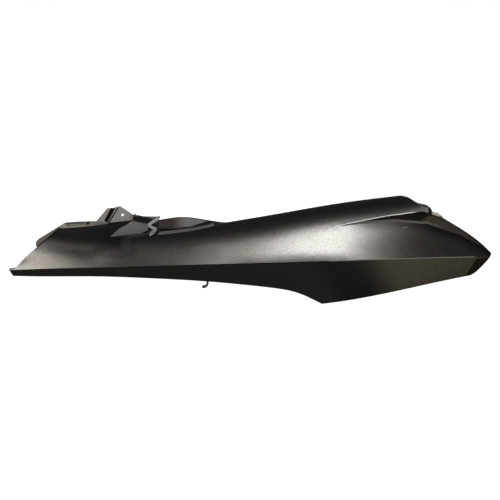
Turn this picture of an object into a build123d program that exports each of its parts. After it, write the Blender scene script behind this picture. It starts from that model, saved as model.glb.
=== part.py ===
from build123d import *
import math
import os

os.makedirs("parts", exist_ok=True)

# The panel is one moulded shell, in millimetres.
# X runs from the front end to the tail, Y from the outside of the vehicle inward, Z up.
# The origin is the centre of the front fixing hole.

# Wall of the moulding, the rim it turns in all round, and how far its sections run past the open back
WALL = 2.5
RIM_DEPTH = 8.0
RUN_OUT = 14.0
OPEN_BACK = 90.0
BISECTIONS = 40

# Lines of the outer surface, as points (x, y, z) that the surface passes through
CREASE = [
    (-215, -40, -88), (-186, -45, -86.4), (-98, -58, -81), (-31, -68, -77.8), (52, -78, -73.3),
    (135, -86, -69.3), (216, -90, -66.4), (297, -88, -64.8), (362, -82, -63.4), (412, -74, -63.3),
    (463, -62, -64.1), (533, -38, -66.5), (597, -12, -70.1), (660, 16, -73),
]
CREST = [
    (-215, -34, -62), (-150, -37, -54), (-98, -38, -45), (-41, -36.5, -35.5), (16, -38, -30),
    (50, -40, -26.4), (100, -42, -21), (133, -43, -14.8), (166, -43, -8.5), (232, -42, 2.8),
    (299, -39, 14.2), (365, -33, 24.3), (416, -26, 30.4), (462, -18, 34.6), (533, -4, 41), (660, 24, 51),
]
INNER_EDGE = [
    (-215, -30, -22), (-98, -26, -17.7), (-60, -24, -15.5), (-20, -17, -15), (14, -12, -9.0),
    (64, -11, -6.5), (101, -13, -1.4), (132, -18, -3.9), (166, -23, -8.5), (232, -22, -8.8),
    (299, -19, 0.9), (365, -13, 11.2), (416, -6, 17.3), (462, 2, 21.8), (533, 16, 28), (660, 44, 38),
]
LOWER_EDGE = [
    (-215, -36, -99), (-180, -40, -97.6), (-117, -50, -96.5), (-32, -60, -94.5), (51, -68, -95.9),
    (134, -74, -99.2), (216, -77, -106), (298, -72, -120), (335, -68, -139.3), (415, -61, -128.2),
    (500, -40, -114.7), (589, -10, -102.9), (660, 18, -95),
]
# Slope of the surface, in degrees above level going inward, as (x, crease, crest, inner edge)
SLOPES = [
    (-215, 62, 56, 84), (-98, 64, 56, 84), (-41, 62, 48, 82), (-10, 62, 16, 80), (30, 65, -8, 76),
    (64, 66, -12, 70), (101, 67, -14, 58), (133, 68, -12, 40), (166, 68, -6, 0), (232, 68, 0, -38),
    (299, 66, 0, -40), (365, 70, 0, -40), (416, 75, 0, -40), (462, 79, 0, -40), (660, 80, 0, -40),
]
STATIONS = [-215, -172, -130, -88, -41, 0, 64, 101, 133, 166, 232, 299, 365, 462, 533, 597, 660]
# How far the handles of the two section curves reach, as shares of their chords
SIDE_FULLNESS = 0.38
ROLL_FULLNESS = 0.36

# Side outline, as points (x, z): the front tip, the raked front edge and the tail
FRONT_TIP = (-186.0, -85.6)
FRONT_FOOT = (-180.5, -97.6)
RAKE = [FRONT_TIP, (-176, -83.4), (-166, -73.4), (-142, -51.4), (-121, -34), (-101.7, -18)]
LOWER_CORNER = (335.0, -139.3)
LOWER_RUN = [FRONT_FOOT, (-117, -96.5), (-32, -94.5), (51, -95.9), (134, -99.2), (216, -106), (257, -111),
             (284, -116.3), (303, -123), (319, -131), LOWER_CORNER]
LOWER_TAIL = [LOWER_CORNER, (415, -128.2), (500, -114.7), (589, -102.9)]
TAIL_END = [(589, -102.9), (599, -98.5), (611.4, -87.7), (625.5, -71.3), (627.5, -66.5)]
TAIL_TOP = [(627.5, -66.5), (617, -55.8), (583, -29.3), (533, 1.3)]
NOTCH = (523.5, 6.5)
FIN_TOP = [(520, 13.0), (514, 16.5), (501, 19.5), (484, 29.5), (470, 34.0), (452, 36)]
ABOVE = 75.0
SIDE_REACH = 160.0

# Tail step: where the facet leaves the surface (x, z, slope) and the fin's lower lip (x, z)
FIN_END = 511.0
FIN_END_SLANT = 0.25
FACET = [(335, -13.2, 46), (376, -7.9, 44), (416, -4.4, 43), (456, -3.3, 41), (497, -6.5, 40),
         (539, -18.1, 38), (583, -37.2, 37), (627, -63.5, 36), (680, -98, 36)]
LIP = [(285, -36), (335, -18.5), (356, -10.9), (376, -5.8), (403, -0.9), (429, 3.6), (456, 6.9), (483, 9.6),
       (FIN_END, 8.6)]
LIP_SLOPE = 8.0
FIN_ZONE = [(440, 0), (440, ABOVE), (526, ABOVE), (526, 4)]
STEP_OUT = 60.0
STEP_IN = 140.0
STEP_TOP = 150.0

# Front lip, stepped back behind the raked edge, as an outline (x, z)
LIP_STEP = 1.6
LIP_THICKNESS = 2.2
LIP_OUTLINE = [(-142, -48), (-142.5, -42), (-138.5, -37), (-95, -10.5), (-86, -20), (-128, -58)]

# Shelf inside the front top edge: hole as (x, diameter), slot as (x, length, width)
SHELF_START = -100.0
SHELF_END = 22.0
SHELF_DEPTH = 32.0
SHELF_RISE = 6.0
SHELF_BENDS = (-60.0, -20.0)
SHELF_HOLE = (-58.0, 4.3)
SHELF_SLOT = (-84.0, 9.0, 5.0)

# Front fixing tab, leaning inward, with its hole at the origin
TAB_LEAN = 15.0
TAB_THICKNESS = 3.0
TAB_HOLE = 4.3
TAB_OUTLINE = [(-4.8, 15.5), (20.8, -1.2), (14.5, -16.0), (-23.0, -16.0)]

# Cheek plate behind the tab, with the ribbed groove in it
CHEEK_OUTLINE = [(-49.0, -14.0), (-27.0, 12.6), (-18.0, 12.6), (-8.0, 15.5), (-26.0, -16.0)]
CHEEK_GROOVE = [(-29.6, -8.5), (-24.2, -8.5), (-14.8, 9.0), (-20.2, 9.0)]
CHEEK_GROOVE_DEPTH = 5.0
CHEEK_BACK = 8.0
CHEEK_RIBS = 6
CHEEK_RIB = 1.3

# Notch in the top edge beside the tab, the pocket wall that closes it, and the raised band beyond it
POCKET_NOTCH = [(24.0, -9.9), (42.5, -16.2), (61.0, -2.6), (61.0, 20.0), (24.0, 20.0)]
POCKET_OUTLINE = [(16.5, -10.0), (20.5, 1.6), (28.0, 1.2), (36.0, -0.9), (64.0, -1.2), (62.0, -9.0),
                  (50.0, -19.0), (20.0, -20.0)]
POCKET_RETURN = 14.0
BAND_PATH = [(62.5, -2.6), (46.0, -15.6), (58.0, -21.6), (50.0, -26.9)]
BAND_WIDTH = 4.2
BAND_HEIGHT = 1.8
BAND_LEG = (-16.5, -11.0)

# Hook under the lower edge
HOOK_X = 146.0
HOOK_STEM = 3.5
HOOK_RADIUS = 6.0
HOOK_SWEEP = 115.0
HOOK_THICKNESS = 3.4
HOOK_WIDTH = 9.0

# Screw bosses behind the panel, as (x, z)
BOSSES = [(498.0, -58.0), (262.0, -40.0)]
BOSS_DIAMETER = 13.0
BOSS_BORE = 5.0
BOSS_LENGTH = 26.0
BOSS_BORE_DEPTH = 18.0
GUSSET = 2.0
GUSSET_REACH = 7.0
GUSSET_LENGTH = 15.6

# Lug at the end of the fin
LUG_OUTLINE = [(524.5, -4.0), (524.5, 6.5), (531.0, 6.0), (539.0, 0.0), (539.0, -10.0)]
LUG_THICKNESS = 4.0


def line_at(line, x):
    """Values of a guide line at x, on a cubic curve through its points."""
    last = len(line) - 2
    i = max(k for k in range(last + 1) if k == 0 or line[k][0] <= x)
    before, start, end, after = line[max(i - 1, 0)], line[i], line[i + 1], line[min(i + 2, last + 1)]
    span = end[0] - start[0]
    t = (x - start[0]) / span
    values = []
    for a, b, c, d in zip(before[1:], start[1:], end[1:], after[1:]):
        slope_b = (c - a) / (end[0] - before[0]) * span
        slope_c = (d - b) / (after[0] - start[0]) * span
        values.append(
            (2 * t ** 3 - 3 * t ** 2 + 1) * b + (t ** 3 - 2 * t ** 2 + t) * slope_b
            + (3 * t ** 2 - 2 * t ** 3) * c + (t ** 3 - t ** 2) * slope_c
        )
    return values


def heading(degrees):
    """Direction across the panel, rising by degrees as it goes inward."""
    return Vector(0, math.cos(math.radians(degrees)), math.sin(math.radians(degrees)))


def inward(degrees):
    """Direction square to that heading, into the wall."""
    return Vector(0, math.sin(math.radians(degrees)), -math.cos(math.radians(degrees)))


def section_curves(x, inset=0.0):
    """Control points of the two curves of the section at x, moved into the wall by inset."""
    crease = Vector(x, *line_at(CREASE, x))
    crest = Vector(x, *line_at(CREST, x))
    edge = Vector(x, *line_at(INNER_EDGE, x))
    lower = Vector(x, *line_at(LOWER_EDGE, x))
    at_crease, at_crest, at_edge = line_at(SLOPES, x)
    reach = SIDE_FULLNESS * (crest - crease).length
    roll = ROLL_FULLNESS * (edge - crest).length
    under = (lower - crease).normalized()
    under_inward = Vector(0, -under.Z, under.Y)
    top_inward = inward(at_crease)
    corner = crease + (top_inward + under_inward) * (inset / (1 + top_inward.dot(under_inward)))
    outer = [
        corner,
        crease + heading(at_crease) * reach + top_inward * inset,
        crest - heading(at_crest) * reach + inward(at_crest) * inset,
        crest + inward(at_crest) * inset,
    ]
    top = [
        outer[3],
        crest + heading(at_crest) * roll + inward(at_crest) * inset,
        edge - heading(at_edge) * roll + inward(at_edge) * inset,
        edge + inward(at_edge) * inset,
    ]
    foot = corner + under * ((lower - crease).length + RUN_OUT)
    return outer, top, heading(at_edge), under, foot


def skin_section(x, inset=0.0):
    """Closed section whose outboard side is the surface, moved in by inset."""
    outer, top, tangent, under, foot = section_curves(x, inset)
    edges = [Edge.make_bezier(*outer), Edge.make_bezier(*top)]
    if inset:
        past = top[3] + tangent * RUN_OUT
        low = foot + under * RUN_OUT
        rest = [top[3], past, Vector(x, OPEN_BACK, past.Z), Vector(x, OPEN_BACK, low.Z), low, outer[0]]
    else:
        top_end = top[3] + Vector(0, tangent.Z, -tangent.Y) * (2 * WALL)
        rest = [top[3], top_end, Vector(x, top_end.Y, foot.Z), foot, outer[0]]
    edges += [Edge.make_line(a, b) for a, b in zip(rest, rest[1:])]
    return Wire(edges)


def skin_solid(inset=0.0):
    """Everything behind the outer surface, moved in by inset."""
    return Solid.make_loft([skin_section(x, inset) for x in STATIONS])


def on_surface(x, z):
    """The y of the outer surface at x and height z, between the crease and the crest."""
    outer = section_curves(x)[0]
    low, high = 0.0, 1.0
    for _ in range(BISECTIONS):
        t = (low + high) / 2
        weights = ((1 - t) ** 3, 3 * t * (1 - t) ** 2, 3 * t ** 2 * (1 - t), t ** 3)
        if sum(w * p.Z for w, p in zip(weights, outer)) < z:
            low = t
        else:
            high = t
    return sum(w * p.Y for w, p in zip(weights, outer))


def outline_runs():
    """Stretches of the side outline, in order round the panel; three points or more make a curve."""
    above_tail = (FIN_TOP[-1][0] - SHELF_DEPTH, ABOVE)
    above_front = (RAKE[-1][0], ABOVE)
    top = [FIN_TOP[-1], above_tail, above_front, RAKE[-1]]
    runs = [LOWER_RUN, LOWER_TAIL, TAIL_END, TAIL_TOP, [TAIL_TOP[-1], NOTCH], [NOTCH, FIN_TOP[0]], FIN_TOP]
    runs += [list(pair) for pair in zip(top, top[1:])]
    runs += [RAKE[::-1], [FRONT_TIP, FRONT_FOOT]]
    return runs


def moved_in(points, amount):
    """A closed ring of points, each moved inward along both of its neighbouring sides."""
    moved = []
    for i, (x, z) in enumerate(points):
        sides = []
        for (ax, az), (bx, bz) in ((points[i - 1], (x, z)), ((x, z), points[(i + 1) % len(points)])):
            length = math.hypot(bx - ax, bz - az)
            sides.append(((az - bz) / length, (bx - ax) / length))
        (nx, nz), (mx, mz) = sides
        scale = amount / (1 + nx * mx + nz * mz)
        moved.append((x + (nx + mx) * scale, z + (nz + mz) * scale))
    return moved


def side_prism(inset=0.0):
    """The side outline, moved in by inset, carried through the whole depth of the panel."""
    runs = outline_runs()
    ring = moved_in([point for run in runs for point in run[:-1]], inset)
    ring.append(ring[0])
    edges = []
    start = 0
    for run in runs:
        points = [Vector(x, 0, z) for x, z in ring[start:start + len(run)]]
        edges.append(Edge.make_spline(points) if len(points) > 2 else Edge.make_line(*points))
        start += len(run) - 1
    return extrude(Face(Wire(edges)), amount=SIDE_REACH, both=True)


def above_line(stations, grow=0.0, slant=0.0):
    """Everything above a line carried along the panel, lowered by grow and slanting toward the tail inward."""
    wires = []
    for x, z, slope in stations:
        start = Vector(x, on_surface(x, z), z) + inward(slope) * grow
        across = heading(slope) + Vector(slant, 0, 0)
        low = start - across * STEP_OUT
        high = start + across * STEP_IN
        top = [Vector(end.X, end.Y, STEP_TOP) for end in (high, low)]
        wires.append(Wire.make_polygon([low, high, *top], close=True))
    return Solid.make_loft(wires)


def tail_step(grow=0.0):
    """What the step under the fin and the facet behind it take away, grown by grow."""
    facet = above_line(FACET, grow)
    lip = [(x - (grow if x == FIN_END else 0), z, LIP_SLOPE) for x, z in LIP]
    return facet - above_line(lip, -grow, FIN_END_SLANT)


def shell():
    """The moulded wall: the block behind the surface, less the hollow that keeps the wall and its rim."""
    block = (skin_solid() & side_prism()) - tail_step()
    inside = side_prism(WALL)
    fin_cap = plate(FIN_ZONE, SIDE_REACH, -SIDE_REACH / 2) - inside
    hollow = (skin_solid(WALL) & inside) + (skin_solid(WALL + RIM_DEPTH) - fin_cap)
    hollow -= tail_step(WALL)
    return block - hollow


def plate(outline, thickness, y, lean=0.0, back=0.0):
    """A flat plate from an outline (x, height), its outer face at y and leaning inward."""
    lean = math.radians(lean)
    plane = Plane(origin=(0, y, 0), x_dir=(1, 0, 0), z_dir=(0, -math.cos(lean), math.sin(lean))).offset(-back)
    return extrude(plane * make_face(Polyline(*outline, close=True)), amount=-thickness)


def front_lip():
    """Thin strip stepped back behind the raked front edge."""
    strip = plate(LIP_OUTLINE, SIDE_REACH, -SIDE_REACH) & skin_solid(LIP_STEP)
    return strip - skin_solid(LIP_STEP + LIP_THICKNESS)


def shelf():
    """Level strip running inward from the top edge at the front, with a hole and a slot."""
    wires = []
    for x in (SHELF_START, *SHELF_BENDS, SHELF_END):
        y, z = line_at(INNER_EDGE, x)
        edge = Vector(x, y + WALL / 2, z)
        far = edge + heading(SHELF_RISE) * SHELF_DEPTH
        drop = Vector(0, 0, -WALL)
        wires.append(Wire.make_polygon([edge, far, far + drop, edge + drop], close=True))
    plate_body = Solid.make_loft(wires)
    x, diameter = SHELF_HOLE
    y, z = line_at(INNER_EDGE, x)
    hole = Pos(x, y + SHELF_DEPTH / 2, z) * Rot(SHELF_RISE, 0, 0) * Cylinder(diameter / 2, SHELF_DEPTH)
    x, length, width = SHELF_SLOT
    y, z = line_at(INNER_EDGE, x)
    slot = Pos(x, y + SHELF_DEPTH / 2, z) * Box(length, width, SHELF_DEPTH)
    return plate_body - hole - slot


def front_bracket():
    """Fixing tab, the cheek plate behind it and the web that joins the two."""
    tab = plate(TAB_OUTLINE, TAB_THICKNESS, 0, TAB_LEAN)
    tab -= Rot(90 - TAB_LEAN, 0, 0) * Cylinder(TAB_HOLE / 2, 4 * TAB_THICKNESS)
    cheek = plate(CHEEK_OUTLINE, WALL, 0, TAB_LEAN, CHEEK_BACK)
    rim = moved_in(CHEEK_GROOVE, -WALL)
    cheek += plate(rim, CHEEK_GROOVE_DEPTH + WALL, 0, TAB_LEAN, CHEEK_BACK)
    cheek -= plate(CHEEK_GROOVE, CHEEK_GROOVE_DEPTH, 0, TAB_LEAN, CHEEK_BACK)
    low, high = CHEEK_GROOVE[0], CHEEK_GROOVE[3]
    width = CHEEK_GROOVE[1][0] - low[0] + WALL
    for i in range(CHEEK_RIBS):
        share = (i + 1) / (CHEEK_RIBS + 1)
        x = low[0] + (high[0] - low[0]) * share
        z = low[1] + (high[1] - low[1]) * share
        rib = [(x - WALL, z), (x + width, z), (x + width, z + CHEEK_RIB), (x - WALL, z + CHEEK_RIB)]
        cheek += plate(rib, CHEEK_GROOVE_DEPTH, 0, TAB_LEAN, CHEEK_BACK + WALL / 2)
    (top_x, top_z), (foot_x, foot_z) = TAB_OUTLINE[0], TAB_OUTLINE[-1]
    web_outline = [(top_x, top_z), (top_x + WALL, top_z - WALL), (foot_x + 2 * WALL, foot_z), (foot_x, foot_z)]
    web = plate(web_outline, CHEEK_BACK + WALL, 0, TAB_LEAN)
    bridge_outline = [(CHEEK_OUTLINE[3][0] - WALL, CHEEK_OUTLINE[3][1] - WALL), (top_x, top_z),
                      (foot_x + WALL, foot_z), (CHEEK_OUTLINE[4][0] - WALL, CHEEK_OUTLINE[4][1])]
    bridge = plate(bridge_outline, WALL, 0, TAB_LEAN, CHEEK_BACK)
    return tab + cheek + web + bridge


def pocket_notch():
    """What the notch beside the tab takes out of the top edge."""
    return plate(POCKET_NOTCH, SIDE_REACH, -SIDE_REACH / 2)


def pocket_wall():
    """The upright wall beside the tab, with the return that ties it to the end of the shelf."""
    y = line_at(INNER_EDGE, POCKET_OUTLINE[0][0])[0] - WALL / 2
    left, foot, top = POCKET_OUTLINE[-1][0], POCKET_OUTLINE[-1][1], POCKET_OUTLINE[1][1]
    return_outline = [(left, top), (left + WALL, top), (left + WALL, foot + WALL), (left, foot + WALL)]
    return plate(POCKET_OUTLINE, WALL, y) + plate(return_outline, POCKET_RETURN, y)


def band_strip(start, end, face, back):
    """Straight strip of the band from one point (x, z) to another, with round ends, between two depths."""
    run, rise = end[0] - start[0], end[1] - start[1]
    turn = math.degrees(math.atan2(rise, run))
    place = Plane.XZ.offset(-face) * Pos(start[0] + run / 2, start[1] + rise / 2) * Rot(0, 0, turn)
    return extrude(place * SlotCenterToCenter(math.hypot(run, rise), BAND_WIDTH), amount=face - back)


def raised_band():
    """A band in three straight strips: a leg across the notch and two standing proud of the surface."""
    leg = band_strip(BAND_PATH[0], BAND_PATH[1], *BAND_LEG)
    strips = band_strip(BAND_PATH[1], BAND_PATH[2], -SIDE_REACH / 2, 0)
    strips += band_strip(BAND_PATH[2], BAND_PATH[3], -SIDE_REACH / 2, 0)
    return leg + ((strips & skin_solid(-BAND_HEIGHT)) - skin_solid(WALL / 2))


def lower_hook():
    """Small hook under the lower edge, open toward the front."""
    y, z = line_at(LOWER_EDGE, HOOK_X)
    plane = Plane(origin=(0, y + WALL / 4, 0), x_dir=(1, 0, 0), z_dir=(0, -1, 0))
    stem = Line((HOOK_X, z + WALL), (HOOK_X, z - HOOK_STEM))
    bend = JernArc(stem @ 1, stem % 1, HOOK_RADIUS, -HOOK_SWEEP)
    return extrude(plane * trace(Curve() + stem + bend, HOOK_THICKNESS), amount=-HOOK_WIDTH)


def screw_boss(x, z):
    """A screw boss with four gussets, standing inward from behind the outer surface."""
    y = on_surface(x, z)
    axis = Pos(x, y, z) * Rot(-90, 0, 0)
    up = (Align.CENTER, Align.CENTER, Align.MIN)
    boss = axis * Cylinder(BOSS_DIAMETER / 2, BOSS_LENGTH, align=up)
    span = BOSS_DIAMETER + 2 * GUSSET_REACH
    for turn in (0, 90):
        boss += axis * Rot(0, 0, turn) * Box(span, GUSSET, GUSSET_LENGTH, align=up)
    boss &= skin_solid(WALL / 2)
    bore = Pos(x, y + BOSS_LENGTH, z) * Rot(90, 0, 0) * Cylinder(BOSS_BORE / 2, BOSS_BORE_DEPTH, align=up)
    return boss - bore


def lug():
    """Small upright plate at the end of the fin, bridging the notch."""
    x, height = LUG_OUTLINE[2]
    z, slope = line_at(FACET, x)
    y = on_surface(x, z) + (height - z) / math.tan(math.radians(slope))
    return plate(LUG_OUTLINE, LUG_THICKNESS, y - 2 * LUG_THICKNESS)


def side_panel():
    panel = shell() - pocket_notch()
    for piece in (front_lip(), shelf(), front_bracket(), pocket_wall(), raised_band(), lower_hook(), lug()):
        panel = panel + piece
    for x, z in BOSSES:
        panel = panel + screw_boss(x, z)
    return panel


export_step(side_panel(), "parts/side_panel.step")
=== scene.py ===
# %% [markdown]
# # A painted scooter side panel
#
# The part is one long moulded shell. The engineering model already holds its true shape, so this lesson is about
# what makes that shape look real: a warm graphite metallic paint under clear coat, the bare grey plastic of the
# tab and the back, and a quiet studio in which a dark glossy panel reads well.

# %% Load the frame
import bpy
import math
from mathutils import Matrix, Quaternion, Vector


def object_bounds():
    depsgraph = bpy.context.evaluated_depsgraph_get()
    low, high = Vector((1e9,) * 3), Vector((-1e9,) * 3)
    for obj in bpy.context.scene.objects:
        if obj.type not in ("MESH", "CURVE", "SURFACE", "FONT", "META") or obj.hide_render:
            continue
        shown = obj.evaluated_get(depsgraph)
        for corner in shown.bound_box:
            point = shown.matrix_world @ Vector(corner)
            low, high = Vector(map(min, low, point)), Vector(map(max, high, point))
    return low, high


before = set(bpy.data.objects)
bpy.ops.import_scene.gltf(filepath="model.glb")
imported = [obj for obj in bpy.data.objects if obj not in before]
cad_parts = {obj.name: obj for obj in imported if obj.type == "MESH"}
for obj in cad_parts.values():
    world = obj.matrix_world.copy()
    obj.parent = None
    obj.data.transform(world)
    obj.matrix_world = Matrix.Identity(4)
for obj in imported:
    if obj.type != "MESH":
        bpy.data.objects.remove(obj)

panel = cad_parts["side_panel"]
cad_box = [list(corner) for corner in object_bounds()]
print("panel box in metres", [[round(v, 4) for v in corner] for corner in cad_box])

# %% [markdown]
# ## Where the camera stands
#
# The photograph was taken square to the panel's length and ten degrees above level. The distance is a normal one
# for a lens that fits a part of this length. The origin of the frame is the hole in the fixing tab, so a camera
# placed in the same frame lines up with the photograph by itself.

# %% Camera
CAMERA_PLACE = (0.2159, -1.82265, 0.26086)
CAMERA_ELEVATION = math.radians(10.0)
PICTURE_PIXELS = 500
FOCAL_PIXELS = 1086.8

camera_data = bpy.data.cameras.new("camera")
camera_data.angle = 2 * math.atan(PICTURE_PIXELS / 2 / FOCAL_PIXELS)
camera = bpy.data.objects.new("camera", camera_data)
camera.location = CAMERA_PLACE
camera.rotation_euler = (math.radians(90) - CAMERA_ELEVATION, 0, 0)
bpy.context.scene.collection.objects.link(camera)
bpy.context.scene.camera = camera
bpy.context.scene.view_settings.view_transform = "Standard"
print("camera sees", round(math.degrees(camera_data.angle), 1), "degrees")

# %% [markdown]
# ## Shader maths as plain expressions
#
# Node trees are hard to read as lists of links. A small class wraps one socket and lets Python's own operators
# add the Math nodes, so a mask can be written as it would be on paper. Any other node comes from `node`.

# %% Expressions on sockets
class Value:
    def __init__(self, tree, socket):
        self.tree, self.socket = tree, socket

    def math(self, operation, *others):
        return self.tree.node("ShaderNodeMath", {"operation": operation}, self, *others)

    def __add__(self, other): return self.math("ADD", other)
    def __radd__(self, other): return self.math("ADD", other)
    def __sub__(self, other): return self.math("SUBTRACT", other)
    def __mul__(self, other): return self.math("MULTIPLY", other)
    def __rmul__(self, other): return self.math("MULTIPLY", other)
    def __truediv__(self, other): return self.math("DIVIDE", other)

    def __rsub__(self, other):
        return self.tree.node("ShaderNodeMath", {"operation": "SUBTRACT"}, other, self)

    def over(self, edge, soft):
        """0 below edge and 1 above it, with a soft step."""
        settings = {"interpolation_type": "SMOOTHSTEP"}
        low, high = edge - soft / 2, edge + soft / 2
        return self.tree.node("ShaderNodeMapRange", settings, self, low, high, 0.0, 1.0)

    def under(self, edge, soft):
        return 1.0 - self.over(edge, soft)

    def most(self, other):
        return self.math("MAXIMUM", other)

    def least(self, other):
        return self.math("MINIMUM", other)

    def size(self):
        return self.math("ABSOLUTE")


# %% One material's tree
class Tree:
    def __init__(self, name):
        self.material = bpy.data.materials.new(name)
        self.material.use_nodes = True
        self.nodes = self.material.node_tree.nodes
        self.links = self.material.node_tree.links
        self.nodes.clear()

    def plug(self, socket, value):
        if isinstance(value, Value):
            self.links.new(value.socket, socket)
        else:
            socket.default_value = value

    def node(self, kind, settings, *inputs, out=0, **named):
        """A new node. Its inputs are given in their order or by name, and `out` picks the output."""
        made = self.nodes.new(kind)
        for key, value in settings.items():
            setattr(made, key, value)
        for socket, value in zip([s for s in made.inputs if s.enabled], inputs):
            self.plug(socket, value)
        for key, value in named.items():
            self.plug(made.inputs[key.replace("_", " ")], value)
        return Value(self, [s for s in made.outputs if s.enabled][out])

    def parts(self, vector):
        """The x, y and z of a vector."""
        split = self.node("ShaderNodeSeparateXYZ", {}, vector).socket.node
        return [Value(self, s) for s in split.outputs]

    def mix(self, share, low, high):
        return self.node("ShaderNodeMix", {"data_type": "RGBA"}, share, low, high)

    def noise(self, coordinates, scale, detail):
        return self.node("ShaderNodeTexNoise", {}, coordinates, scale, detail)

    def surface(self, shader):
        output = self.nodes.new("ShaderNodeOutputMaterial")
        self.links.new(shader.socket, output.inputs["Surface"])
        return self.material


# %% [markdown]
# ## Patches drawn on the panel
#
# The front of the panel is busy: light bare plastic, recesses darkened with painted shade, painted highlights and
# a zigzag band meet in a few centimetres. Their borders are straight, so each patch is a list of corners in the
# panel's own side view, in metres. A point lies in a patch when it is on the inner side of every border, and on a
# stripe when it is near the line and between its ends. Where shade is painted softly into the paint in a hollow,
# an oval with a soft edge does it.

# %% Distances to a straight line
def across(x, z, start, end):
    """Distance of (x, z) to the left of the line from start to end."""
    run, rise = end[0] - start[0], end[1] - start[1]
    length = math.hypot(run, rise)
    return (z - start[1]) * (run / length) - (x - start[0]) * (rise / length)


def along(x, z, start, end):
    """Distance of (x, z) along the line from start."""
    run, rise = end[0] - start[0], end[1] - start[1]
    length = math.hypot(run, rise)
    return (x - start[0]) * (run / length) + (z - start[1]) * (rise / length)


def below(x, z, line):
    """Distance of (x, z) below an arch of straight pieces, less than 0 above it."""
    depths = [across(x, z, end, start) for start, end in zip(line, line[1:])]
    depth = depths[0]
    for other in depths[1:]:
        depth = depth.least(other)
    return depth


# %% Patches and ovals
BORDER = 0.0006


def patch(x, z, corners, soft=BORDER):
    """1 inside corners given anticlockwise, 0 outside."""
    share = 1.0
    for start, end in zip(corners, corners[1:] + corners[:1]):
        share = across(x, z, start, end).over(0, soft) * share
    return share


def square(x, z, centre, reach):
    """1 in a square that reaches equally far from its centre on each side."""
    left, right = centre[0] - reach, centre[0] + reach
    low, high = centre[1] - reach, centre[1] + reach
    return patch(x, z, [(left, low), (right, low), (right, high), (left, high)])


def oval(x, z, centre, reach):
    """1 in the middle of an oval, fading to 0 at its reach."""
    right, up = (x - centre[0]) / reach[0], (z - centre[1]) / reach[1]
    return (right * right + up * up).under(0.5, 1.0)


# %% Stripes
def stripe(x, z, start, end, width):
    """1 on a straight stripe, 0 beside it and past its ends."""
    length = math.hypot(end[0] - start[0], end[1] - start[1])
    beside = across(x, z, start, end).size().under(width / 2, BORDER)
    middle = (along(x, z, start, end) - length / 2).size()
    return beside * middle.under(length / 2, BORDER)


def stripes(x, z, corners, *widths):
    """Stripes from corner to corner. The last width also serves all that follow."""
    widths = widths + widths[-1:] * len(corners)
    return [stripe(x, z, start, end, width) for start, end, width in zip(corners, corners[1:], widths)]


def joined(shares):
    """The largest of several shares at each point."""
    whole = shares[0]
    for share in shares[1:]:
        whole = whole.most(share)
    return whole


# %% [markdown]
# ## The paint
#
# The outside of such a panel is sprayed in two coats. The first holds aluminium flake in a dark warm tint: it
# gives a wide, grainy glow where it faces a lamp and goes nearly black where it turns away. The second is a clear
# coat, thin and smooth. The back, the shelf, the tab and the recess beside the tab are the bare grey plastic, with
# no coat, and painted shade darkens them in places where the moulding is deep.
#
# What faces inward is bare. So are the two screw bosses behind the skin, whose sides face every way.

# %% Fine noise, and what is inside
FLAKE_SCALE = 2600.0
ORANGE_PEEL_SCALE = 420.0
GRAIN_SCALE = 900.0
REAR_BOSS = (0.498, -0.058)
MID_BOSS = (0.262, -0.040)
BOSS_REACH = 0.020

tree = Tree("graphite paint on plastic")
coordinates = tree.node("ShaderNodeTexCoord", {}, out=3)
x, y, z = tree.parts(coordinates)
flake = tree.noise(coordinates, FLAKE_SCALE, 1.0)
orange_peel = tree.noise(coordinates, ORANGE_PEEL_SCALE, 2.0)
grain = tree.noise(coordinates, GRAIN_SCALE, 3.0)
facing_in = tree.parts(tree.node("ShaderNodeNewGeometry", {}, out=1))[1]
bosses = square(x, z, REAR_BOSS, BOSS_REACH).most(square(x, z, MID_BOSS, BOSS_REACH))
inside = facing_in.over(0.25, 0.2).most(bosses * facing_in.over(-0.3, 0.1))
outside = 1 - inside
print("bare plastic within", BOSS_REACH, "m of the bosses at", REAR_BOSS, "and", MID_BOSS)

# %% [markdown]
# The paint itself sparkles in fine specks. Shade is also painted softly into it where the skin is hollow below the
# wall and the wedge, along its rolled edge under the fin, and low on the shoulder above the crease.
#
# The renderer holds every value that is still needed on a stack of 255 places, and draws the whole surface black
# when they don't fit. So each mask is made just before it is mixed in, and no mask goes into the height of a bump,
# which is worked out three times.

# %% Paint and its soft painted shade
PAINT = (0.122, 0.108, 0.094, 1)
SPARKLE = (0.2, 0.19, 0.175, 1)
# The colour of the shade painted into the paint.
PAINTED_SHADE = (0.017, 0.015, 0.013, 1)
SPECK_SCALE = 650.0
SPARKLE_SHARE = 0.62
ROLLED_SHADE_DEPTH = 0.021
SKIN_EDGE = [
    (0.3400, -0.0125), (0.3761, -0.0078), (0.4025, -0.0053), (0.4560, -0.0033), (0.5109, -0.0095),
    (0.5682, -0.0301), (0.6270, -0.0635),
]

speck = tree.noise(coordinates, SPECK_SCALE, 2.0)
tint = tree.mix(speck.over(0.5, 0.3) * SPARKLE_SHARE, PAINT, SPARKLE)
in_skin = below(x, z, SKIN_EDGE)
# Painted shade along the skin's rolled edge under the fin.
rolled = in_skin.over(0, BORDER) * in_skin.under(ROLLED_SHADE_DEPTH / 2, ROLLED_SHADE_DEPTH) * x.over(0.39, 0.05)
tint = tree.mix(rolled * 0.8, tint, PAINTED_SHADE)
# Painted shade in the hollow below the wall and below the wedge.
hollow = oval(x, z, (-0.008, -0.0500), (0.050, 0.018))
under_wall = oval(x, z, (-0.060, -0.0375), (0.060, 0.011))
under_wedge = oval(x, z, (0.007, -0.0380), (0.026, 0.015))
tint = tree.mix(joined([hollow * 0.65, under_wall * 0.5, under_wedge * 0.6]), tint, PAINTED_SHADE)
# Painted shade low on the shoulder, just above the crease.
above_crease = across(x, z, (0.135, -0.0690), (0.412, -0.0630))
low_shoulder = above_crease.over(-0.0005, 0.001) * above_crease.under(0.006, 0.026)
tint = tree.mix(low_shoulder * x.over(0.19, 0.06) * x.under(0.39, 0.06), tint, PAINTED_SHADE)


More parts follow.
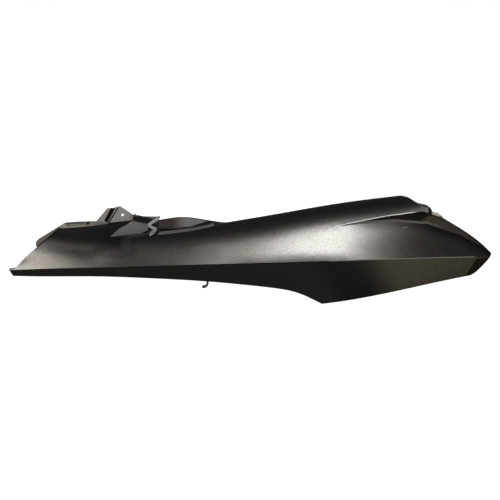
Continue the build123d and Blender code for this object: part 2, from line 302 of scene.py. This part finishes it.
# %% Bare plastic, with patches laid on it
class Finish:
    """The tint and the share of bare plastic, with all patches laid so far, painted shade and highlights among
    them.
    """

    def __init__(self, tint, bare):
        self.tint, self.bare, self.patches = tint, bare, 0

    def lay(self, share, colour):
        self.tint = tree.mix(share, self.tint, colour)
        self.bare = self.bare.most(share)
        self.patches += 1


PLASTIC = (0.224, 0.203, 0.176, 1)

finish = Finish(tree.mix(inside, tint, PLASTIC), inside)

# %% [markdown]
# At the front come the wall under the light shelf, near black with painted shade, the lip along the raked edge
# with a line of painted shadow, the light wedge, the brown lobes with a slot of painted shade and feet of painted
# highlight, the pocket and triangle by the tab in painted shade, and the raised zigzag band, bare plastic made
# lighter with a painted highlight. Painted shade also lies in the ribbed groove, in the shelf's slot and hole, and
# along the tab's side. Each patch covers those laid before it.

# %% Wall, shelf, lip and wedge
# The wall's colour is painted shade, near black.
WALL_SHADE = (0.009, 0.0088, 0.0085, 1)
LIP = (0.105, 0.09, 0.072, 1)
WEDGE = (0.125, 0.123, 0.117, 1)

# The upper front wall is laid in painted shade, fading out toward its foot.
upper_wall_shade = patch(x, z, [
    (-0.19, -0.08), (0.04, -0.08), (0.04, -0.03), (-0.015, -0.004), (-0.098, -0.004),
], 0.004)
wall_shade_foot = across(x, z, (-0.150, -0.040), (-0.020, -0.0495)).over(0, 0.022)
finish.lay(upper_wall_shade * wall_shade_foot * x.under(0.012, 0.03) * outside, WALL_SHADE)
finish.lay(y.over(-0.009, 0.002) * z.over(-0.019, 0.003), PLASTIC)
front_lip = patch(x, z, [
    (-0.1445, -0.0535), (-0.1017, -0.0180), (-0.1017, 0.005), (-0.17, 0.005), (-0.17, -0.0535),
])
finish.lay(front_lip * outside, LIP)
shelf_edge = patch(x, z, [
    (-0.103, -0.0190), (-0.0605, -0.0168), (-0.0309, -0.0146), (-0.0207, -0.0139), (-0.021, -0.008),
    (-0.11, -0.008),
])
finish.lay(shelf_edge * outside, PLASTIC)
wedge = patch(x, z, [
    (-0.0176, -0.0322), (0.0321, -0.0274), (0.0447, -0.0228), (0.0435, -0.0176), (0.0223, -0.0100),
    (-0.0014, -0.0191),
])
finish.lay(wedge * outside, WEDGE)
print(finish.patches, "patches with the wall, shelf, lip and wedge")

# %% Lobes
# The colour of painted shadow and painted shade in slots, gaps and the shelf's hole.
PAINTED_SHADOW = (0.005, 0.0045, 0.004, 1)
LOBE = (0.045, 0.034, 0.030, 1)
LOBE_LIGHT = (0.17, 0.16, 0.15, 1)
LOBE_FOOT_HIGHLIGHT = [(0.0642, -0.0251), (0.0860, -0.0228), (0.1160, -0.0185), (0.1562, -0.0103)]
LOBE_FOOT_HIGHLIGHT_WIDTH = 0.0013

lobe_tint = tree.mix(x.over(0.098, 0.03), LOBE, LOBE_LIGHT)
lobes = patch(x, z, [
    (0.0614, -0.0188), (0.0769, -0.0202), (0.1041, -0.0188), (0.1157, -0.0155), (0.1644, -0.0093),
    (0.1016, -0.0012), (0.0813, -0.0022), (0.0639, -0.0042),
])
finish.lay(lobes * outside, lobe_tint)
# A stripe of painted shade in the slot between the crest and the lobes.
finish.lay(stripe(x, z, (0.0642, -0.0212), (0.1010, -0.0212), 0.003) * outside, PAINTED_SHADOW)
# Thin feet of painted highlight along the foot of the lobes.
for start, end in zip(LOBE_FOOT_HIGHLIGHT, LOBE_FOOT_HIGHLIGHT[1:]):
    finish.lay(stripe(x, z, start, end, LOBE_FOOT_HIGHLIGHT_WIDTH) * outside, LOBE_LIGHT)
print(finish.patches, "patches with the lobes")

# %% Pocket, band and grooves
SHADE = (0.010, 0.009, 0.008, 1)
# The band's colour: bare plastic, made lighter by a painted highlight.
BAND_PLASTIC_AND_HIGHLIGHT = (0.3, 0.295, 0.28, 1)
BAND = [(0.0625, -0.0026), (0.0440, -0.0156), (0.0590, -0.0214), (0.0503, -0.0262)]
BAND_WIDTHS = (0.0042, 0.0040, 0.0036)

# The pocket beside the tab is laid in painted shade.
pocket = patch(x, z, [
    (0.0182, -0.0087), (0.0249, -0.0100), (0.0425, -0.0165), (0.0620, -0.0017), (0.0360, -0.0005),
    (0.0276, 0.0020), (0.0201, 0.0022),
])
finish.lay(pocket * outside, SHADE)
# The triangle under the tab is painted shadow.
under_tab_shadow = patch(x, z, [
    (-0.0262, -0.0150), (-0.0014, -0.0198), (0.0170, -0.0100), (0.0168, -0.0088), (-0.0228, -0.0132),
])
finish.lay(under_tab_shadow * outside, PAINTED_SHADOW)
# The raised zigzag band: bare plastic with a painted highlight.
finish.lay(joined(stripes(x, z, BAND, *BAND_WIDTHS)) * outside, BAND_PLASTIC_AND_HIGHLIGHT)
# Painted shade in the ribbed groove beside the tab.
groove = stripe(x, z, (-0.0293, -0.0125), (-0.0165, 0.0115), 0.0066) * y.over(0.003, 0.002)
finish.lay(groove, PAINTED_SHADOW)
# Painted shade in the slot on the shelf.
shelf_slot = stripe(x, y, (-0.098, -0.003), (-0.064, -0.003), 0.006) * z.over(-0.0195, 0.001)
finish.lay(shelf_slot, SHADE)
# A line of painted shadow along the tab's side.
tab_side_shadow = stripe(x, z, (-0.0238, -0.0138), (-0.0057, 0.0145), 0.0022)
finish.lay(tab_side_shadow, PAINTED_SHADOW)
# Painted shade in the shelf's hole.
shelf_hole_shade = stripe(x, z, (-0.0605, -0.0137), (-0.0555, -0.0137), 0.0018)
finish.lay(shelf_hole_shade, PAINTED_SHADOW)
# A line of painted shadow at the step along the raked edge.
raked_edge_shadow = stripe(x, z, (-0.1430, -0.0524), (-0.1017, -0.0180), 0.0022)
finish.lay(raked_edge_shadow * outside, PAINTED_SHADOW)
print(finish.patches, "patches with the pocket, band and grooves")

# %% [markdown]
# Under the fin a facet opens between two arches: the fin's lip above it and the skin's rolled edge below. The
# facet is laid in the fin's painted shade, and painted highlights run along the lip and the facet's edge. Toward
# the tail the facet turns khaki and then brown, lighter where less shade is painted, beside the light lug. A thin
# painted highlight follows the crease, the tail ends dark, and one short scratch lies below the fin.

# %% Facet under the fin
# Under the fin: painted shade on the facet, lighter toward the tail, and painted highlights on its edge and the
# lip.
FACET_SHADE = (0.013, 0.011, 0.009, 1)
FACET_TAIL = (0.045, 0.038, 0.033, 1)
FACET_EDGE_HIGHLIGHT = (0.10, 0.095, 0.08, 1)
KHAKI = (0.048, 0.044, 0.031, 1)
LIP_HIGHLIGHT = (0.6, 0.6, 0.58, 1)
FIN_LIP = [
    (0.335, -0.0185), (0.356, -0.0109), (0.376, -0.0058), (0.403, -0.0009), (0.429, 0.0036), (0.456, 0.0069),
    (0.483, 0.0096), (0.511, 0.0086),
]
FACET_EDGE_HIGHLIGHT_WIDTH = 0.0034
THIN_LINE = 0.0014

under_lip = below(x, z, FIN_LIP)
# The facet is laid in the fin's painted shade, khaki and then brown toward the tail where less shade is painted.
facet_shade_tint = tree.mix(x.over(0.535, 0.03) * x.under(0.595, 0.05), FACET_SHADE, FACET_TAIL)
facet = in_skin.under(0, BORDER) * under_lip.over(0, BORDER) * x.over(0.345, 0.002) * outside
finish.lay(facet, facet_shade_tint)
khaki = patch(x, z, [
    (0.4974, -0.0060), (0.5473, -0.0190), (0.5431, -0.0095), (0.5241, 0.0010), (0.5131, 0.0019),
], 0.003)
finish.lay(facet * khaki, KHAKI)
# A painted highlight along the facet's edge.
facet_edge_highlight = facet * in_skin.over(-FACET_EDGE_HIGHLIGHT_WIDTH, 0.0008) * x.over(0.37, 0.02) * x.under(0.53, 0.03)
finish.lay(facet_edge_highlight, FACET_EDGE_HIGHLIGHT)
# A painted highlight along the fin's lip.
lip_highlight = under_lip.over(-THIN_LINE, BORDER) * under_lip.under(0.0, BORDER)
finish.lay(lip_highlight * x.over(0.352, 0.02) * x.under(0.508, 0.01) * outside, LIP_HIGHLIGHT)
print(finish.patches, "patches with the facet")

# %% Crease and tail
LUG = (0.42, 0.38, 0.33, 1)
TAIL_END = (0.009, 0.006, 0.003, 1)
# The crease's colour is a painted highlight, also used for one real scratch.
CREASE_HIGHLIGHT_AND_SCRATCH = (0.15, 0.145, 0.12, 1)
CREASE = [(0.345, -0.0640), (0.412, -0.0634), (0.463, -0.0642), (0.533, -0.0666), (0.597, -0.0702)]

# A thin painted highlight along the crease.
finish.lay(joined(stripes(x, z, CREASE, THIN_LINE)) * outside, CREASE_HIGHLIGHT_AND_SCRATCH)
tail_end = patch(x, z, [(0.580, -0.1050), (0.65, -0.125), (0.65, -0.0715), (0.6000, -0.0735)])
finish.lay(tail_end * outside, TAIL_END)
lug = patch(x, z, [
    (0.5210, 0.0035), (0.5335, -0.0005), (0.5380, -0.0005), (0.5345, 0.0090), (0.5210, 0.0110),
])
finish.lay(lug * outside, LUG)
# One short scratch below the fin, in the same pale colour as the crease's highlight.
finish.lay(stripe(x, z, (0.4678, -0.0135), (0.4764, -0.0135), 0.0012) * outside, CREASE_HIGHLIGHT_AND_SCRATCH)
tint, bare = finish.tint, finish.bare
painted = 1 - bare
print(finish.patches, "patches in all, in", len(tree.nodes), "nodes")

# %% One shader for paint and plastic
PAINT_ROUGHNESS, FLAKE_ROUGHNESS = 0.27, 0.06
PLASTIC_ROUGHNESS, GRAIN_ROUGHNESS = 0.5, 0.1
PLASTIC_SHINE = 0.06
CLEAR_COAT = 0.15
CLEAR_COAT_ROUGHNESS = 0.2
RELIEF_STRENGTH = 0.2
RELIEF_HEIGHT = 0.0004

paint_roughness = PAINT_ROUGHNESS + FLAKE_ROUGHNESS * flake
plastic_roughness = PLASTIC_ROUGHNESS + GRAIN_ROUGHNESS * grain
roughness = painted * paint_roughness + bare * plastic_roughness
paint_relief = 0.6 * flake + 0.4 * orange_peel
paint_bump = tree.node("ShaderNodeBump", {}, RELIEF_STRENGTH, RELIEF_HEIGHT, Height=paint_relief)
plastic_bump = tree.node("ShaderNodeBump", {}, RELIEF_STRENGTH, RELIEF_HEIGHT, Height=grain)
relief = tree.node("ShaderNodeMix", {"data_type": "VECTOR"}, bare, paint_bump, plastic_bump)
shader = tree.node(
    "ShaderNodeBsdfPrincipled", {}, Base_Color=tint, Metallic=painted, Roughness=roughness, Normal=relief,
    Specular_IOR_Level=PLASTIC_SHINE, Coat_Weight=painted * CLEAR_COAT, Coat_Roughness=CLEAR_COAT_ROUGHNESS,
)
paint = tree.surface(shader)
panel.data.materials.clear()
panel.data.materials.append(paint)
print("materials on the panel", [m.name for m in panel.data.materials])

# %% [markdown]
# ## The studio
#
# The world and the floor are white where the camera or a mirror-like surface sees them. As light on the panel they
# stay at a plain level, and the floor keeps the panel's shadow.

# %% White world
PLAIN_LEVEL = 0.25

world = bpy.data.worlds.new("studio")
world.use_nodes = True
bpy.context.scene.world = world
nodes, links = world.node_tree.nodes, world.node_tree.links
path = nodes.new("ShaderNodeLightPath")
white = nodes.new("ShaderNodeMath")
white.operation = "MAXIMUM"
links.new(path.outputs["Is Camera Ray"], white.inputs[0])
mirrored = nodes.new("ShaderNodeMath")
mirrored.operation = "MAXIMUM"
links.new(path.outputs["Is Glossy Ray"], mirrored.inputs[0])
links.new(path.outputs["Is Transmission Ray"], mirrored.inputs[1])
links.new(mirrored.outputs[0], white.inputs[1])
level = nodes.new("ShaderNodeMapRange")
level.inputs["To Min"].default_value = PLAIN_LEVEL
level.inputs["To Max"].default_value = 1.0
links.new(white.outputs[0], level.inputs["Value"])
links.new(level.outputs["Result"], nodes["Background"].inputs["Strength"])
nodes["Background"].inputs["Color"].default_value = (1, 1, 1, 1)
print("the world gives", PLAIN_LEVEL, "as light and 1 where it is seen")


# %% Floor
def sized(name, size=(1, 1, 1)):
    """Name and size the piece just added, with its place and size in its mesh."""
    piece = bpy.context.object
    piece.name = name
    piece.scale = size
    bpy.ops.object.transform_apply(location=True, rotation=True, scale=True)
    return piece


FLOOR_DROP = 0.06
FLOOR_GLOW = 1.2
FLOOR_GLOW_SHARE = 0.8

bpy.ops.object.select_all(action="DESELECT")
bpy.ops.mesh.primitive_plane_add(size=40, location=(0, 0, cad_box[0][2] - FLOOR_DROP))
floor = sized("floor")
floor_tree = Tree("white floor")
ray = floor_tree.nodes.new("ShaderNodeLightPath")
seen = joined([
    Value(floor_tree, ray.outputs[kind]) for kind in ("Is Camera Ray", "Is Glossy Ray", "Is Transmission Ray")])
matt = floor_tree.node("ShaderNodeBsdfDiffuse", {}, (0.9, 0.9, 0.9, 1))
glow = floor_tree.node("ShaderNodeEmission", {}, (1, 1, 1, 1), FLOOR_GLOW)
blend = floor_tree.node("ShaderNodeMixShader", {}, seen * FLOOR_GLOW_SHARE, matt, glow)
floor.data.materials.append(floor_tree.surface(blend))
print("floor", FLOOR_DROP, "m below the panel")

# %% [markdown]
# A dark glossy panel shows its lamps more than its colour. A low wide window of light stands in front, a little to
# the right, and draws one soft band along the shoulder. A sill and two fills carry that band to both sides, and
# two small lamps at the front left pick out the front end. A lamp behind lights the bare back. The paint doesn't
# mirror it, because it would draw a bright rim round the outline.


# %% Softboxes
def toward(azimuth, elevation):
    """Direction with azimuth 0 toward the camera and turning toward the tail, in degrees."""
    a, e = math.radians(azimuth), math.radians(elevation)
    return Vector((math.sin(a) * math.cos(e), -math.cos(a) * math.cos(e), math.sin(e)))


def softbox(name, target, angles, distance, size, radiance, colour=(1, 1, 1), roll=0):
    """A lamp that faces its target from a direction, given as azimuth and elevation."""
    data = bpy.data.lights.new(name, "AREA")
    data.shape = "RECTANGLE"
    data.color = colour
    data.size, data.size_y = size
    data.energy = radiance * math.pi * size[0] * size[1]
    lamp = bpy.data.objects.new(name, data)
    direction = toward(*angles)
    lamp.location = Vector(target) + direction * distance
    turn = direction.to_track_quat("Z", "Y") @ Quaternion((0, 0, 1), math.radians(roll))
    lamp.rotation_euler = turn.to_euler()
    lamp.visible_camera = False
    bpy.context.scene.collection.objects.link(lamp)
    print(name, [round(v, 2) for v in lamp.location], round(data.energy, 1), "W")
    return lamp


# %% Lamps
SHOULDER = (0.33, -0.088, -0.03)
FRONT_END = (-0.15, -0.045, -0.075)
MIDDLE = (0.25, 0, -0.06)
COOL = (0.93, 1.0, 1.05)
WARM = (1.05, 0.98, 0.92)

softbox("window", SHOULDER, (10, 19), distance=1.3, size=(0.62, 0.17), radiance=22, colour=COOL, roll=-12)
softbox("window sill", SHOULDER, (5, -2), distance=1.3, size=(1.4, 0.24), radiance=2.0)
softbox("left fill", SHOULDER, (-15, 22), distance=1.3, size=(0.45, 0.4), radiance=2.5)
softbox("right fill", SHOULDER, (42, 20), distance=1.3, size=(0.6, 0.45), radiance=1.2, colour=WARM)
softbox("front lamp", FRONT_END, (-43, 35), distance=0.5, size=(0.2, 0.18), radiance=6.0)
softbox("front side lamp", FRONT_END, (-60, 35), distance=0.8, size=(0.35, 0.35), radiance=2.0)
back_lamp = softbox("back lamp", MIDDLE, (180, 15), distance=1.6, size=(1.2, 0.7), radiance=8.0)
back_lamp.visible_glossy = False

# %% [markdown]
# The last three pieces show in reflections alone. Black drapes hang round the set, so that the crest and the
# underside stay dark. A warm white card under the tail and a dark mat under the lower corner give the underside
# its light and its dark end.


# %% Drapes
def seen_in_gloss_only(piece, name, colour, level):
    """Stage a piece that glows in one even colour, for reflections alone."""
    cloth = Tree(name)
    piece.data.materials.append(cloth.surface(cloth.node("ShaderNodeEmission", {}, colour, level)))
    piece.visible_camera = False
    piece.visible_diffuse = False
    piece.visible_shadow = False
    piece.visible_transmission = False
    print(piece.name, "glows at", level, "in reflections")


DRAPES_PLACE, DRAPES_SIZE = (0.2, 0, 0.9), (5.0, 5.0, 2.16)

bpy.ops.object.select_all(action="DESELECT")
bpy.ops.mesh.primitive_cube_add(size=1, location=DRAPES_PLACE)
drapes = sized("black drapes", DRAPES_SIZE)
seen_in_gloss_only(drapes, "dark cloth", (0.96, 1, 1.04, 1), 0.065)

# %% White card under the tail
CARD_PLACE, CARD_SIZE = (0.72, -0.24, -0.177), (0.40, 0.28, 1)

bpy.ops.object.select_all(action="DESELECT")
bpy.ops.mesh.primitive_plane_add(size=1, location=CARD_PLACE)
card = sized("white card", CARD_SIZE)
seen_in_gloss_only(card, "card", (1, 0.92, 0.75, 1), 0.34)

# %% Dark mat under the lower corner
MAT_PLACE, MAT_REACH = (0.43, -0.24, -0.176), (0.065, 0.16, 1)

bpy.ops.object.select_all(action="DESELECT")
bpy.ops.mesh.primitive_circle_add(radius=1, fill_type="NGON", location=MAT_PLACE)
mat = sized("dark mat", MAT_REACH)
seen_in_gloss_only(mat, "mat", (1, 1, 0.9, 1), 0.01)
